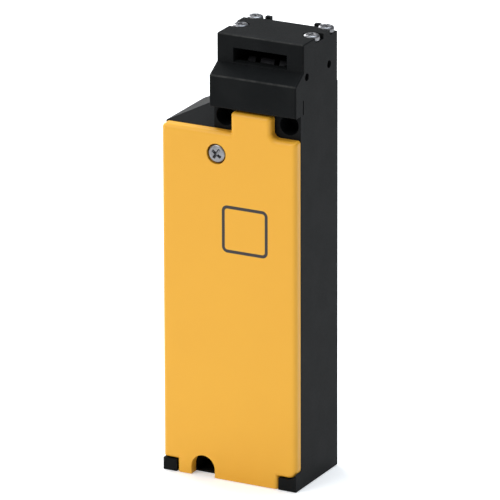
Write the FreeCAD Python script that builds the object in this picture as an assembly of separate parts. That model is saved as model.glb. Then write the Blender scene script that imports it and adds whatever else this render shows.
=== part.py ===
"""Tongue interlock switch with a solenoid guard lock, for a machine guard door.

Millimetres. +Z is up, the cover faces -Y and the flat mounting face is +Y.
The origin is the centre of the bottom of the bounding box.

A black moulded base holds the contact block (right), the locking solenoid
(left) and the wiring chamber (below).  The head stands on a pedestal over the
contact block: a guard tongue that enters its slot turns the cam wheel, the cam
lets the plunger rise, and the plunger works the contact carrier.  The
solenoid's armature tips a bell-crank lever whose nose locks the plunger.
"""
import FreeCAD
import Part
import math
import os
from FreeCAD import Vector

# ---------------------------------------------------------------- base housing
case_width = 52.0
case_depth = 31.7
case_top = 127.1            # shoulder of the base and top edge of the cover
side_wall = 2.5
back_wall = 2.5
floor = 3.0
roof = 3.1
shoulder_slope = 22.7       # degrees, both slopes of the hipped shoulder
pedestal_height = 13.9      # pedestal that carries the head, above case_top
skirt_gap = 8.6             # from case_top up to the skirt of the head
back_edge_radius = 0.8

# ----------------------------------------------------------------- front cover
cover_thickness = 3.5
cover_gap = 0.3             # between the cover's back face and the base's rim
cover_edge_radius = 1.6
cover_lip_depth = 1.5
cover_lip_width = 1.4
cover_lip_clearance = 0.3
tab_inset = 8.05            # tab at the top, from the left side of the head
tab_width = 15.4
tab_height = 7.6
foot_height = 4.4
left_foot_width = 5.4
right_foot_width = 7.1
foot_gap = 0.2
corner_radius = 3.3         # lower right corner, which the foot wraps
cover_screw_inset = 2.6     # from the left side of the head
cover_screw_drop = 8.2      # below case_top
cover_screw_recess = 2.1
gasket_width = 1.4
gasket_depth = 0.9
arch_gasket_width = 1.0     # where it climbs over the lower fixing slot

# ------------------------------------------------------------------------ head
head_width = 33.3
head_height = 19.6          # above the pedestal
head_step = 5.8             # set-back of the upper block
chamfer_low = 6.1           # chamfer over the skirt, above the pedestal
chamfer_high = 9.6
slot_width = 20.6
slot_height = 4.7
slot_sill = 0.8             # from the chamfer up to the slot
cap_thickness = 2.4
cap_spigot = 1.25
cap_rear_slope = 4.5        # run of the sloped rear edge
cap_rear_drop = 2.0
head_edge_radius = 0.6
chamber_width = 21.3
chamber_front_wall = 2.05
chamber_back_wall = 2.45
head_gasket_width = 0.9
head_gasket_thickness = 0.8
head_screw_inset = 3.0
head_screw_rear_inset = 2.9
head_screw_pitch = 11.0     # front to back
head_screw_seat = 1.8       # below the top of the cap
head_screw_head = 2.2
head_screw_depth = 4.4      # into the pedestal

# ---------------------------------------------------------- cam, plunger, lock
mechanism_y = 1.2           # plane of the cam axis, plunger, lever and solenoid
cam_radius = 6.6
cam_reach = 2.7             # how far the cam wheel stands into the tongue's way
cam_swing = 60.0            # degrees, as the tongue goes in
cam_shaft_radius = 1.6
running_clearance = 0.05
seat_gap = 0.3              # between pieces that only meet in use
pocket_inset = 0.5          # pedestal pocket, inside the outline of the chamber
cheek_thickness = 2.2
pin_radius = 1.4
pin_front_inset = 8.4       # front carrier pins, from the front of the head
pin_screw_pitch = 3.65      # rear carrier pins, in front of the rear head screws
pin_recess = 1.2
pin_height = 7.5            # above the pedestal
stroke = 3.0                # plunger and contacts
plunger_radius = 2.5
plunger_tip_radius = 1.5
pedestal_pocket = 3.4
guide_radius = 4.0
guide_flange = 1.2
lever_space = 20.5          # between the contact block and the roof
lever_thickness = 3.0
lever_height = 4.4          # pivot above the contact block
lever_pivot_offset = 8.75   # pivot to the left of the plunger
lever_nose_rise = 8.0
lever_nose_height = 2.0
neck_radius = 1.3
pivot_radius = 1.25

# --------------------------------------------------------------- contact block
block_half_width = 14.0
block_height = 47.5
block_front = -6.0
block_back = 9.0
block_floor = 2.5
carrier_spring_room = 5.0
lid_thickness = 1.2
carrier_half_width = 3.2
slide_clearance = 0.2
contact_levels = 3
contact_pitch = 12.0
first_level = 11.5          # lowest contact bridge, above the block's bottom
bridge_thickness = 0.8
bridge_half_length = 6.2
tip_radius = 1.3
tip_height = 0.5
terminal_offset = 10.4
terminal_half_width = 2.6
terminal_height = 8.6
terminal_screw_radius = 1.6
terminal_screw_length = 7.0
block_screw_sink = 3.0      # seat behind the front of the contact block
block_screw_bite = 2.0
block_screw_height = 4.0    # above the bottom of the contact block

# -------------------------------------------------------------------- solenoid
partition_gap = 2.0         # between the contact block and the partition
partition_thickness = 1.2
solenoid_gap = 0.62         # beside the yoke, both sides
yoke_top_drop = 9.5         # below the top of the contact block
yoke_height = 36.0
yoke_half_depth = 7.0
yoke_sheet = 1.6
armature_share = 0.36       # armature radius over half the width of the yoke
core_height = 12.0
armature_travel = 4.0
bobbin_wall = 0.55
bobbin_flange = 1.0
spring_room = 10.0          # armature spring, fitted length
coil_block_height = 12.0
coil_block_bottom = 34.0

# ------------------------------------------------------------- fixings, entry
fixing_spacing = 24.5       # two upper fixing holes
fixing_height = 4.9         # above case_top
fixing_radius = 2.15
fixing_head_radius = 3.6
fixing_head_depth = 8.0
notch_spacing = 18.4        # lower fixing slot, to the left of the cable entry
notch_height = 3.0
notch_radius = 4.6
notch_wall = 1.8
notch_seat = 4.0
entry_inset = 18.0          # cable entry in the bottom, from the right side
entry_y = 0.8
entry_radius = 9.2
entry_wall = 2.0
entry_length = 9.5
entry_flange = 0.5          # left, right and back, over the floor of the base
entry_flange_thickness = 1.4

# --------------------------------------------------------------- derived places
left = -case_width / 2
right = case_width / 2
front = -case_depth / 2
back = case_depth / 2
cover_back = front + cover_thickness
rim = cover_back + cover_gap
inner_back = back - back_wall
cavity_top = case_top - roof
head_left = right - head_width
head_mid = right - head_width / 2
head_front = front + head_step
tab_left = head_left + tab_inset
cover_screw_x = head_left + cover_screw_inset
lever_pivot_x = head_mid - lever_pivot_offset
entry_x = right - entry_inset
notch_x = entry_x - notch_spacing
pedestal_top = case_top + pedestal_height
skirt_bottom = case_top + skirt_gap
head_top = pedestal_top + head_height
slot_bottom = pedestal_top + chamfer_high + slot_sill
chamber_front = head_front + chamber_front_wall
chamber_back = back - chamber_back_wall
chamber_left = head_mid - chamber_width / 2
chamber_right = head_mid + chamber_width / 2
cheek_left = chamber_left + pocket_inset + slide_clearance
cheek_right = chamber_right - pocket_inset - slide_clearance
cap_bottom = head_top - cap_thickness
cam_axis_z = slot_bottom + cam_reach - cam_radius
plunger_top = cam_axis_z - cam_radius - seat_gap
pocket_floor = pedestal_top - pedestal_pocket
block_top = cavity_top - lever_space
block_bottom = block_top - block_height
block_left = head_mid - block_half_width
block_right = head_mid + block_half_width
partition_right = block_left - partition_gap
partition_left = partition_right - partition_thickness
solenoid_x = (left + side_wall + partition_left) / 2
yoke_half_width = (partition_left - left - side_wall) / 2 - solenoid_gap
armature_radius = yoke_half_width * armature_share
spring_seat_radius = armature_radius + 1.4
lever_axis_z = block_top + lever_height
nose_z = lever_axis_z + lever_nose_rise
yoke_top = block_top - yoke_top_drop
yoke_bottom = yoke_top - yoke_height
collar_z = yoke_top + spring_room
lever_arm = lever_pivot_x - solenoid_x
lever_swing = armature_travel / lever_arm
cover_screw_z = case_top - cover_screw_drop
fixing_z = case_top + fixing_height
level_z = [block_bottom + first_level + k * contact_pitch for k in range(contact_levels)]
fixed_contact_rise = bridge_thickness + 2 * tip_height + stroke + 0.1
head_screw_places = [
    (x, y)
    for x in (head_left + head_screw_inset, right - head_screw_inset)
    for y in (back - head_screw_rear_inset - head_screw_pitch, back - head_screw_rear_inset)
]
pin_places = [
    (front + pin_front_inset, pedestal_top + pin_height),
    (back - head_screw_rear_inset - pin_screw_pitch, pedestal_top + pin_height),
]


# ---------------------------------------------------------------------- helpers
def box(x0, x1, y0, y1, z0, z1):
    """Rectangular block between two corners."""
    return Part.makeBox(x1 - x0, y1 - y0, z1 - z0, Vector(x0, y0, z0))


def along(axis, place, first, second):
    """Point whose coordinate on one axis is place; the others keep their order."""
    if axis == "x":
        return Vector(place, first, second)
    if axis == "y":
        return Vector(first, place, second)
    return Vector(first, second, place)


def rod(axis, centre, radius, start, end):
    """Cylinder along an axis, between two places on it."""
    base = along(axis, start, *centre)
    return Part.makeCylinder(radius, end - start, base, along(axis, 1, 0, 0))


def cone(axis, centre, radius_start, radius_end, start, end):
    """Cone or taper along an axis, between two places on it."""
    base = along(axis, start, *centre)
    return Part.makeCone(radius_start, radius_end, end - start, base, along(axis, 1, 0, 0))


def tube(axis, centre, outer, inner, start, end):
    """Hollow cylinder along an axis."""
    return rod(axis, centre, outer, start, end).cut(rod(axis, centre, inner, start, end))


def prism(axis, points, start, end):
    """Polygon in the plane across an axis, extruded along it."""
    corners = [along(axis, start, a, b) for a, b in points]
    face = Part.Face(Part.makePolygon(corners + corners[:1]))
    return face.extrude(along(axis, end - start, 0, 0))


def fuse(pieces):
    """One solid from pieces that touch."""
    return pieces[0].multiFuse(pieces[1:]).removeSplitter()


def cut(body, tools):
    """Body less every tool."""
    return body.cut(tools[0].multiFuse(tools[1:]) if len(tools) > 1 else tools[0])


def group(solids):
    """Separate solids in one node."""
    return Part.makeCompound(solids)


def rounded(shape, radius, chosen):
    """Fillet on the edges that chosen() accepts by the middle of their box."""
    edges = [edge for edge in shape.Edges if chosen(edge)]
    return shape.makeFillet(radius, edges)


def upright(edge, low, high):
    """True for a straight vertical edge that spans from low to high."""
    bounds = edge.BoundBox
    return bounds.XLength < 0.01 and bounds.YLength < 0.01 and bounds.ZMin >= low - 0.01 and bounds.ZMax <= high + 0.01


def slanted(edge):
    """True for a straight edge that leans from front to back."""
    bounds = edge.BoundBox
    return bounds.XLength < 0.01 and bounds.YLength > 0.1 and bounds.ZLength > 0.1


def pan_screw(axis, centre, seat, head_radius, head_height, shank_radius, length, way):
    """Pan-head screw: the head lies on the side of seat that way points away from."""
    top = seat - way * head_height
    end = seat + way * length
    low, high = sorted((seat, top))
    head = rod(axis, centre, head_radius, low, high)
    crown = [edge for edge in head.Edges if abs(getattr(edge.CenterOfMass, axis) - top) < 0.01]
    head = head.makeFillet(head_height * 0.4, crown)
    low, high = sorted((seat, end))
    return head.fuse(rod(axis, centre, shank_radius, low, high)).removeSplitter()


def coil_spring(centre, low, high, mean_radius, wire_radius, turns):
    """Helical compression spring that stands between two heights."""
    rise = high - low - 2 * wire_radius
    helix = Part.makeHelix(rise / turns, rise, mean_radius)
    section = Part.makeCircle(wire_radius, Vector(mean_radius, 0, 0), Vector(0, 1, 0))
    wire = Part.Wire(helix.Edges).makePipeShell([Part.Wire(section)], True, True)
    wire.translate(Vector(centre[0], centre[1], low + wire_radius))
    return wire


# ----------------------------------------------------------------- base housing
def hipped_shoulder():
    """Roof beside the head: one slope rises from the front, one from the left."""
    rise = math.tan(math.radians(shoulder_slope))
    run = head_left - left
    from_left = prism("y", [(left, case_top), (head_left, case_top + run * rise), (head_left, case_top)], rim, back)
    run = back - rim
    from_front = prism("x", [(rim, case_top), (back, case_top + run * rise), (back, case_top)], left, head_left)
    return from_left.common(from_front)


def entry_opening():
    """Notch in the floor, open at the rim, that the entry block slides into."""
    half = entry_radius + entry_wall
    return box(entry_x - half, entry_x + half, rim, entry_y + half, 0, floor)


def entry_block():
    """Floor plate with the threaded block for the cable gland, hung by its flange from the floor."""
    half = entry_radius + entry_wall
    reach = half + entry_flange
    block = box(entry_x - half, entry_x + half, entry_y - half, entry_y + half, 0, entry_length)
    flange = box(entry_x - reach, entry_x + reach, entry_y - half, entry_y + reach,
                 floor, floor + entry_flange_thickness)
    body = fuse([entry_opening(), block, flange])
    bore = rod("z", (entry_x, entry_y), entry_radius, -1, entry_length + 1)
    return cut(body, [bore, gasket_ring(rim, gasket_depth)])


def lower_fixing_tunnel():
    """Arched wall that keeps the lower fixing slot outside the sealed chamber."""
    arch = rod("y", (notch_x, notch_height), notch_radius + notch_wall, rim, back)
    return arch.common(box(left, right, rim, back, 0, case_top))


def lower_fixing_slot():
    """Arched way in from the cover, with a narrow slot through its end."""
    end = back - notch_seat
    return [
        rod("y", (notch_x, notch_height), notch_radius, front, end),
        box(notch_x - notch_radius, notch_x + notch_radius, front, end, -1, notch_height),
        rod("y", (notch_x, notch_height), fixing_radius, front, back + 1),
        box(notch_x - fixing_radius, notch_x + fixing_radius, front, back + 1, -1, notch_height),
    ]


def cover_screw_boss():
    """Boss for the cover screw, hung from the roof clear of the lever."""
    end = mechanism_y - lever_thickness / 2 - 2.7
    radius = 4.0
    column = rod("y", (cover_screw_x, cover_screw_z), radius, rim, end)
    web = box(cover_screw_x - radius, cover_screw_x + radius, rim, end, cover_screw_z, cavity_top)
    return column.fuse(web)


def base_housing():
    """Moulded base: tray, hipped shoulder, pedestal for the head and two feet."""
    body = fuse([
        box(left, right, rim, back, 0, case_top),
        hipped_shoulder(),
        box(head_left, right, rim, back, case_top, skirt_bottom),
        box(head_left, right, head_front + foot_gap, back, skirt_bottom, pedestal_top),
    ])
    body = rounded(body, back_edge_radius, lambda edge: upright(edge, 0, case_top)
                   and edge.BoundBox.YMin > back - 0.01 and edge.Length > case_top * 0.5)
    cavity = box(left + side_wall, right - side_wall, rim - 1, inner_back, floor, cavity_top)
    body = body.cut(cavity)
    terminal_x = (head_mid - terminal_offset, head_mid + terminal_offset)
    block_screw_z = block_bottom + block_screw_height
    pads = [rod("y", (x, z), 3.0, block_back, inner_back + 0.5)
            for x in terminal_x for z in (block_screw_z, block_top - block_screw_height)]
    yoke_back = mechanism_y + yoke_half_depth
    yoke_posts = [rod("y", (solenoid_x, z), 3.0, yoke_back, inner_back + 0.5)
                  for z in (yoke_bottom - 4.0, yoke_top + 4.0)]
    coil_posts = [rod("y", (solenoid_x + side * 4.0, coil_block_bottom + coil_block_height / 2), 2.0,
                      block_back, inner_back + 0.5) for side in (-1, 1)]
    lever_back = mechanism_y + lever_thickness / 2
    pivot_post = rod("y", (lever_pivot_x, lever_axis_z), 3.0, lever_back + slide_clearance, inner_back + 0.5)
    partition = box(partition_left, partition_right, mechanism_y - 8, inner_back + 0.5,
                    coil_block_bottom, yoke_top + 2)
    body = fuse([body, lower_fixing_tunnel(), cover_screw_boss(), pivot_post, partition]
                + pads + yoke_posts + coil_posts)
    feet = [
        box(left, left + left_foot_width - foot_gap, front, rim, 0, foot_height),
        box(right - right_foot_width + foot_gap, right, front, rim, 0, foot_height + corner_radius)
        .cut(cover_plate(foot_gap)),
    ]
    body = fuse([body] + feet)
    tools = [
        entry_opening(),
        rod("y", (cover_screw_x, cover_screw_z), 2.2, front, -5.0),
        rod("z", (head_mid, mechanism_y), guide_radius, cavity_top - 1, pedestal_top),
        box(chamber_left + pocket_inset, chamber_right - pocket_inset, chamber_front + 0.3,
            chamber_back - pocket_inset, pocket_floor, pedestal_top + 1),
        rod("y", (lever_pivot_x, lever_axis_z), pivot_radius, lever_back, inner_back - 1),
    ]
    tools += lower_fixing_slot()
    for side in (-1, 1):
        place = (head_mid + side * fixing_spacing / 2, fixing_z)
        tools.append(rod("y", place, fixing_radius, rim - 1, back + 1))
        tools.append(rod("y", place, fixing_head_radius, rim - 1, rim + fixing_head_depth))
    for place in head_screw_places:
        tools.append(rod("z", place, 1.8, pedestal_top - head_screw_depth - 0.4, pedestal_top + 1))
    for x in terminal_x:
        tools.append(rod("y", (x, block_screw_z), 1.25, block_back - 1, inner_back))
    for z in (yoke_bottom - 4.0, yoke_top + 4.0):
        tools.append(rod("y", (solenoid_x, z), 1.5, yoke_back - 1, inner_back))
    tools.append(gasket_ring(rim, gasket_depth))
    return cut(body, tools)


def gasket_ring(start, depth):
    """Rectangular ring in the rim of the base, which climbs over the arch of the lower fixing slot."""
    inset = (side_wall - gasket_width) / 2
    outer = box(left + inset, right - inset, start - 0.3, start + depth, inset, case_top - inset)
    inner = box(left + inset + gasket_width, right - inset - gasket_width, start - 1, start + depth + 1,
                inset + gasket_width, case_top - inset - gasket_width)
    place = (notch_x, notch_height)
    arch_inner = notch_radius + (notch_wall - arch_gasket_width) / 2
    arch = tube("y", place, arch_inner + arch_gasket_width, arch_inner, start - 0.3, start + depth)
    arch = arch.common(outer)
    ring = outer.cut(inner).cut(rod("y", place, arch_inner, start - 1, start + depth + 1))
    return ring.fuse(arch).removeSplitter()


# ------------------------------------------------------------------ front cover
def cover_outline(grow):
    """Closed outline of the cover in X and Z: shoulders, top tab and foot notches."""
    tab_right = tab_left + tab_width
    shoulder = case_top
    notch_left = left + left_foot_width
    notch_right = right - right_foot_width
    points = [
        (notch_left, 0, 0.01), (notch_right, 0, 0.01), (notch_right, foot_height + foot_gap, 0.01),
        (right, foot_height + foot_gap, corner_radius), (right, shoulder, 1.0),
        (tab_right, shoulder, 2.4), (tab_right, shoulder + tab_height, 1.2),
        (tab_left, shoulder + tab_height, 1.2), (tab_left, shoulder, 0.3),
        (left, shoulder, 1.6), (left, foot_height + foot_gap, 0.6),
        (notch_left, foot_height + foot_gap, 0.01),
    ]
    return rounded_outline(points, grow)


def rounded_outline(points, grow):
    """Wire through corners, each with its own radius, joined by tangent arcs."""
    edges = []
    ends = []
    count = len(points)
    for k, (x, z, radius) in enumerate(points):
        here = Vector(x, 0, z)
        before = Vector(points[k - 1][0], 0, points[k - 1][1])
        after = Vector(points[(k + 1) % count][0], 0, points[(k + 1) % count][1])
        to_before = (before - here).normalize()
        to_after = (after - here).normalize()
        half = to_before.getAngle(to_after) / 2
        if radius < 0.1:
            ends.append((here, here, None))
            continue
        setback = radius / math.tan(half)
        middle = (to_before + to_after).normalize() * (radius / math.sin(half) - radius)
        ends.append((here + to_before * setback, here + to_after * setback, here + middle))
    for k, (start, end, middle) in enumerate(ends):
        if middle is not None:
            edges.append(Part.Arc(start, middle, end).toShape())
        edges.append(Part.makeLine(end, ends[(k + 1) % count][0]))
    wire = Part.Wire(edges)
    if grow:
        wire = wire.makeOffset2D(grow)
    return wire


def cover_plate(grow):
    """The cover's plain slab, grown on all sides by a clearance."""
    face = Part.Face(cover_outline(grow))
    face.translate(Vector(0, front - grow, 0))
    return face.extrude(Vector(0, cover_thickness + cover_gap + 2 * grow, 0))


def front_cover():
    """Moulded cover: rounded slab, locating lip and stiffening ribs behind."""
    face = Part.Face(cover_outline(0))
    face.translate(Vector(0, front, 0))
    slab = face.extrude(Vector(0, cover_thickness, 0))
    slab = rounded(slab, cover_edge_radius, lambda edge: edge.BoundBox.YMax < front + 0.01
                   and edge.BoundBox.ZMax > foot_height - 0.1
                   and not (edge.BoundBox.ZMax < foot_height + 0.5 and edge.BoundBox.XLength > 1))
    inset = side_wall + cover_lip_clearance
    lip_end = cover_back + cover_lip_depth
    low = foot_height + foot_gap + cover_lip_clearance
    high = cavity_top - cover_lip_clearance
    lip = box(left + inset, right - inset, cover_back, lip_end, low, high)
    lip = lip.cut(box(left + inset + cover_lip_width, right - inset - cover_lip_width, cover_back - 1, lip_end + 1,
                      low + cover_lip_width, high - cover_lip_width))
    reach = notch_radius + notch_wall + 2 * cover_lip_clearance
    lip = lip.cut(rod("y", (notch_x, notch_height), reach, cover_back - 1, lip_end + 1))
    boss_reach = 4.0 + cover_lip_clearance
    lip = lip.cut(box(cover_screw_x - boss_reach, cover_screw_x + boss_reach, cover_back - 1, lip_end + 1,
                      cover_screw_z, case_top))
    rib_end = cover_back + 1.0
    ribs = [box(left + inset, right - inset, cover_back, rib_end, z - 0.6, z + 0.6)
            for z in (case_top * 0.2, case_top * 0.4, case_top * 0.6, case_top * 0.8)]
    cover = fuse([slab, lip] + ribs)
    seat = front + cover_screw_recess
    return cut(cover, [
        rod("y", (notch_x, notch_height), notch_radius, front - 1, lip_end + 1),
        box(notch_x - notch_radius, notch_x + notch_radius, front - 1, lip_end + 1, -1, notch_height),
        rod("y", (cover_screw_x, cover_screw_z), 3.7, front - 1, seat),
        rod("y", (cover_screw_x, cover_screw_z), 2.15, front - 1, lip_end + 1),
    ])


def cover_screw():
    """Captive screw of the cover, short enough to leave its boss as the cover swings."""
    return pan_screw("y", (cover_screw_x, cover_screw_z), front + cover_screw_recess, 3.35, 2.0, 2.0, 5.4, 1)


def cover_gasket():
    """Rubber ring in the rim, just proud of it, that the cover presses on."""
    return gasket_ring(rim, gasket_depth)


# ------------------------------------------------------------------------- head
def head_housing():
    """Head: skirt, chamfer and set-back upper block, with the tongue slot."""
    profile = [
        (front, skirt_bottom), (front, pedestal_top + chamfer_low), (head_front, pedestal_top + chamfer_high),
        (head_front, cap_bottom), (back, cap_bottom), (back, pedestal_top), (head_front, pedestal_top),
        (head_front, skirt_bottom),
    ]
    body = prism("x", profile, head_left, right)
    body = rounded(body, head_edge_radius, lambda edge: upright(edge, skirt_bottom, head_top)
                   or (edge.BoundBox.YMax < front + 0.01 and edge.BoundBox.XLength > head_width - 0.1)
                   or slanted(edge))
    tools = [
        box(chamber_left, chamber_right, chamber_front, chamber_back, pedestal_top - 1, head_top),
        box(head_mid - slot_width / 2, head_mid + slot_width / 2, head_front - 1, chamber_front + 1,
            slot_bottom, slot_bottom + slot_height),
        head_gasket_ring(pedestal_top - 1, pedestal_top + head_gasket_thickness),
    ]
    funnel = [(head_front - 0.01, slot_bottom - 0.5), (head_front - 0.01, slot_bottom + slot_height),
              (head_front + 1.2, slot_bottom + slot_height), (head_front + 1.2, slot_bottom)]
    tools.append(prism("x", funnel, head_mid - slot_width / 2, head_mid + slot_width / 2))
    front_pin = pin_places[0]
    for low, high in ((chamber_left, cheek_left + cheek_thickness + slide_clearance),
                      (cheek_right - cheek_thickness - slide_clearance, chamber_right)):
        tools.append(rod("x", front_pin, pin_radius + 0.9, low, high))
    for place in pin_places:
        tools.append(rod("x", place, pin_radius, head_left - 1, right + 1))
    for x, y in head_screw_places:
        tools.append(rod("z", (x, y), 1.9, pedestal_top - 1, head_top))
    return cut(body, tools)


def screw_pocket(x, y, seat):
    """Pocket for a screw head, open towards the nearer side of the head."""
    side = -1 if x < head_mid else 1
    outer = head_left - 1 if side < 0 else right + 1
    low, high = sorted((x, outer))
    return [rod("z", (x, y), 3.1, seat, head_top + 1), box(low, high, y - 3.1, y + 3.1, seat, head_top + 1)]


def head_gasket_ring(low, high):
    """Rubber ring round the mouth of the chamber, in the underside of the head."""
    width = head_gasket_width
    outer = box(chamber_left - width, chamber_right + width, chamber_front - width, chamber_back + width, low, high)
    return outer.cut(box(chamber_left, chamber_right, chamber_front, chamber_back, low - 1, high + 1))


def head_gasket():
    """The ring itself, level with the underside of the head."""
    return head_gasket_ring(pedestal_top, pedestal_top + head_gasket_thickness)


def head_cap():
    """Top plate with a spigot into the chamber, a sloped rear edge and two pips."""
    plate = box(head_left, right, head_front, back, cap_bottom, head_top)
    low = head_top - cap_rear_drop
    plate = rounded(plate, head_edge_radius, lambda edge: upright(edge, cap_bottom, head_top))
    plate = plate.cut(prism("x", [(back - cap_rear_slope, head_top), (back, low), (back + 1, low),
                                  (back + 1, head_top + 1), (back - cap_rear_slope, head_top + 1)],
                            head_left - 1, right + 1))
    clearance = slide_clearance
    spigot = box(chamber_left + clearance, chamber_right - clearance, chamber_front + clearance,
                 chamber_back - clearance, cap_bottom - cap_spigot, cap_bottom)
    pips = [box(x - 1.0, x + 1.0, back - 1.8, back, cap_bottom + 0.2, head_top - 0.1)
            for x in (chamber_left + 1.2, chamber_right - 1.2)]
    cap = fuse([plate, spigot] + pips)
    tools = []
    for x, y in head_screw_places:
        tools += screw_pocket(x, y, head_top - head_screw_seat)
        tools.append(rod("z", (x, y), 1.9, cap_bottom - 1, head_top))
    cap = cut(cap, tools)
    return rounded(cap, 0.4, lambda edge: abs(edge.BoundBox.ZMin - head_top) < 0.01
                   and edge.BoundBox.YMax < head_front + 0.01)


def head_screws():
    """Four pan-head screws that hold the head on its pedestal."""
    seat = head_top - head_screw_seat
    length = seat - pedestal_top + head_screw_depth
    return group([pan_screw("z", place, seat, 2.8, head_screw_head, 1.75, length, -1) for place in head_screw_places])


# ----------------------------------------------------------- cam and its carrier
def cam_carrier():
    """Frame of two cheeks and a rear bar that carries the cam shaft."""
    gap = slide_clearance
    low = pocket_floor + gap
    high = slot_bottom - seat_gap
    rear = chamber_back - pocket_inset - gap
    nose = chamber_front + 0.3 + gap
    cheeks = []
    for start in (cheek_left, cheek_right - cheek_thickness):
        plate = prism("x", [(nose, low), (nose, high), (rear, high), (rear, low)], start, start + cheek_thickness)
        lobe = rod("x", pin_places[0], pin_radius + 0.7, start, start + cheek_thickness)
        cheeks.append(plate.fuse(lobe))
    bar = box(cheek_left, cheek_right, rear - 2.0, rear, low, high)
    body = fuse(cheeks + [bar])
    tools = [rod("x", (mechanism_y, cam_axis_z), cam_shaft_radius, chamber_left, chamber_right)]
    tools += [rod("x", place, pin_radius, chamber_left, chamber_right) for place in pin_places]
    return cut(body, tools)


def carrier_pins():
    """Four dowel pins through the sides of the head into the cheeks."""
    pins = []
    for place in pin_places:
        pins.append(rod("x", place, pin_radius, head_left + pin_recess, cheek_left + cheek_thickness))
        pins.append(rod("x", place, pin_radius, cheek_right - cheek_thickness, right - pin_recess))
    return group(pins)


def cam_shaft():
    """Plain shaft across the carrier."""
    return rod("x", (mechanism_y, cam_axis_z), cam_shaft_radius, cheek_left, cheek_right)


def cam_wheel():
    """Cam: hub, plunger cam with its flat, and two notched discs for the tongue."""
    axis = (mechanism_y, cam_axis_z)
    half = head_mid - cheek_left - cheek_thickness - seat_gap
    hub = rod("x", axis, 3.6, head_mid - half, head_mid + half)
    discs = [rod("x", axis, cam_radius, head_mid - 2.6, head_mid + 2.6)]
    for side in (-1, 1):
        low, high = sorted((head_mid + side * (half - 2.8), head_mid + side * half))
        discs.append(rod("x", axis, cam_radius, low, high))
    body = fuse([hub] + discs)
    # The flat faces the plunger only when the tongue has turned the cam fully in.
    flat_distance = cam_radius - stroke - seat_gap
    flat = box(head_mid - 2.7, head_mid + 2.7, mechanism_y - 8, mechanism_y + 8,
               cam_axis_z - 12, cam_axis_z - flat_distance)
    centre = Vector(head_mid, mechanism_y, cam_axis_z)
    flat.rotate(centre, Vector(1, 0, 0), cam_swing)
    notch = box(head_mid - half - 1, head_mid + half + 1, mechanism_y - 2.1, mechanism_y + 2.1,
                cam_axis_z + 3.9, cam_axis_z + 12)
    notch.rotate(centre, Vector(1, 0, 0), cam_swing / 2)
    bore = rod("x", axis, cam_shaft_radius + running_clearance, head_mid - half - 1, head_mid + half + 1)
    return cut(body, [flat, notch, bore])


# ------------------------------------------------------------- plunger and guide
def neck_limits():
    """Lower and upper end of the plunger's neck, where the lever's nose locks it."""
    lift = (head_mid - lever_pivot_x) * lever_swing
    low = nose_z - lever_nose_height / 2 - stroke - seat_gap
    high = nose_z + lever_nose_height / 2 + lift + seat_gap
    return low, high


def plunger():
    """Turned plunger: foot, spring collar, locking neck, shank and domed tip."""
    low, high = neck_limits()
    foot_radius = plunger_radius - 0.2
    carrier_top = block_top - 2.0 - 0.5 - stroke
    collar = block_top + 6.0
    profile = [
        (0, carrier_top + 0.1), (foot_radius, carrier_top + 0.1), (foot_radius, collar),
        (4.0, collar), (4.0, collar + 1.2), (plunger_radius, collar + 1.2), (plunger_radius, low),
        (neck_radius, low), (neck_radius, high), (plunger_radius, high),
        (plunger_radius, plunger_top - 3.1), (plunger_tip_radius, plunger_top - 2.1),
        (plunger_tip_radius, plunger_top - plunger_tip_radius),
    ]
    points = [Vector(r, 0, z) for r, z in profile]
    dome = Part.Arc(points[-1], Vector(plunger_tip_radius * math.sin(math.pi / 4), 0,
                    plunger_top - plunger_tip_radius * (1 - math.cos(math.pi / 4))),
                    Vector(0, 0, plunger_top)).toShape()
    lines = [Part.makeLine(a, b) for a, b in zip(points, points[1:])]
    closing = Part.makeLine(Vector(0, 0, plunger_top), points[0])
    face = Part.Face(Part.Wire(lines + [dome, closing]))
    body = face.revolve(Vector(0, 0, 0), Vector(0, 0, 1), 360)
    body.translate(Vector(head_mid, mechanism_y, 0))
    return body


def plunger_guide():
    """Flanged bush in the pedestal."""
    centre = (head_mid, mechanism_y)
    body = fuse([rod("z", centre, guide_radius, cavity_top, pocket_floor),
                 rod("z", centre, guide_radius + 1.2, pocket_floor, pocket_floor + guide_flange)])
    return cut(body, [
        rod("z", centre, plunger_radius + running_clearance, cavity_top - 1, pedestal_top),
        rod("z", centre, 3.6, pocket_floor, pedestal_top),
    ])


def plunger_seal():
    """Rubber ring in the mouth of the guide."""
    return tube("z", (head_mid, mechanism_y), 3.6, plunger_radius + running_clearance,
                pocket_floor, pocket_floor + guide_flange)


def plunger_spring():
    """Spring that lifts the plunger off the contact block."""
    return coil_spring((head_mid, mechanism_y), block_top, block_top + 6.0, 3.3, 0.3, 4)


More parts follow.
